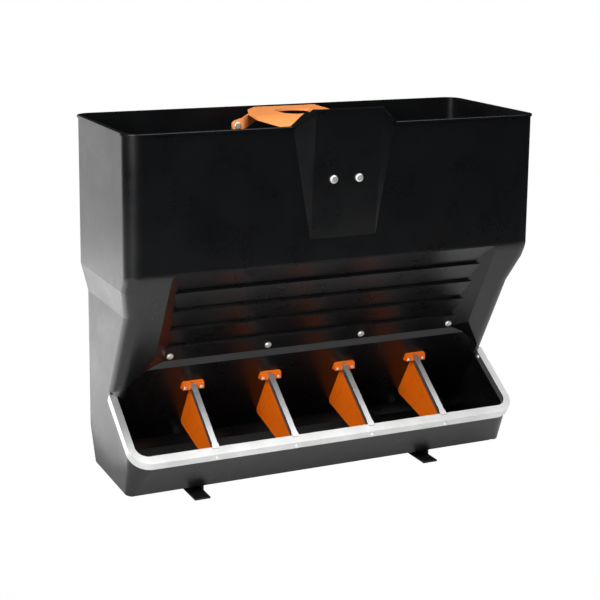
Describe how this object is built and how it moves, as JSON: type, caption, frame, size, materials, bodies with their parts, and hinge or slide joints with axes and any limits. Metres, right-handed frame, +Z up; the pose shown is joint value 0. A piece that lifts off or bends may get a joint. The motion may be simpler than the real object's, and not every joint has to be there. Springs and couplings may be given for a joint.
{
  "type": "piglet feeder",
  "caption": "Dry feeder for piglets: a moulded hopper over a divided trough with a steel rim, and a lift-up feed gate worked by a handle.",
  "frame": {"origin": "on the ground under the middle of the bounding box", "axes": "+X along the trough, +Y to the feeder's back, +Z up"},
  "size_m": [1, 0.408, 0.876],
  "materials": {
    "black_plastic": "satin",
    "orange_plastic": "satin",
    "stainless": "satin",
    "zinc": "satin",
    "galvanised": "matt"
  },
  "bodies": {
    "feeder": {"hopper_body": "black_plastic", "trough_rim": "stainless", "rim_screws": "zinc", "divider_1": "orange_plastic", "divider_2": "orange_plastic", "divider_3": "orange_plastic", "divider_4": "orange_plastic", "divider_bar_1": "stainless", "divider_bar_2": "stainless", "divider_bar_3": "stainless", "divider_bar_4": "stainless", "divider_screws": "zinc", "foot_left": "galvanised", "foot_right": "galvanised", "foot_bolts": "zinc", "foot_nuts": "zinc", "panel_strip": "stainless", "slat_screws": "zinc", "slat_nuts": "zinc", "latch_block": "black_plastic", "bay_bolts": "zinc", "bay_nuts": "zinc"},
    "gate_lift": {"feed_gate": "stainless", "lift_strap_left": "stainless", "lift_strap_right": "stainless", "gate_bolts": "zinc", "handle_bolts": "zinc", "strap_nuts": "zinc", "adjusting_handle": "orange_plastic"}
  },
  "joints": [
    {"name": "gate_slide", "type": "slide", "parent": "feeder", "child": "gate_lift", "axis": [0, 0, 1], "range_m": [-0.046, 0]}
  ]
}
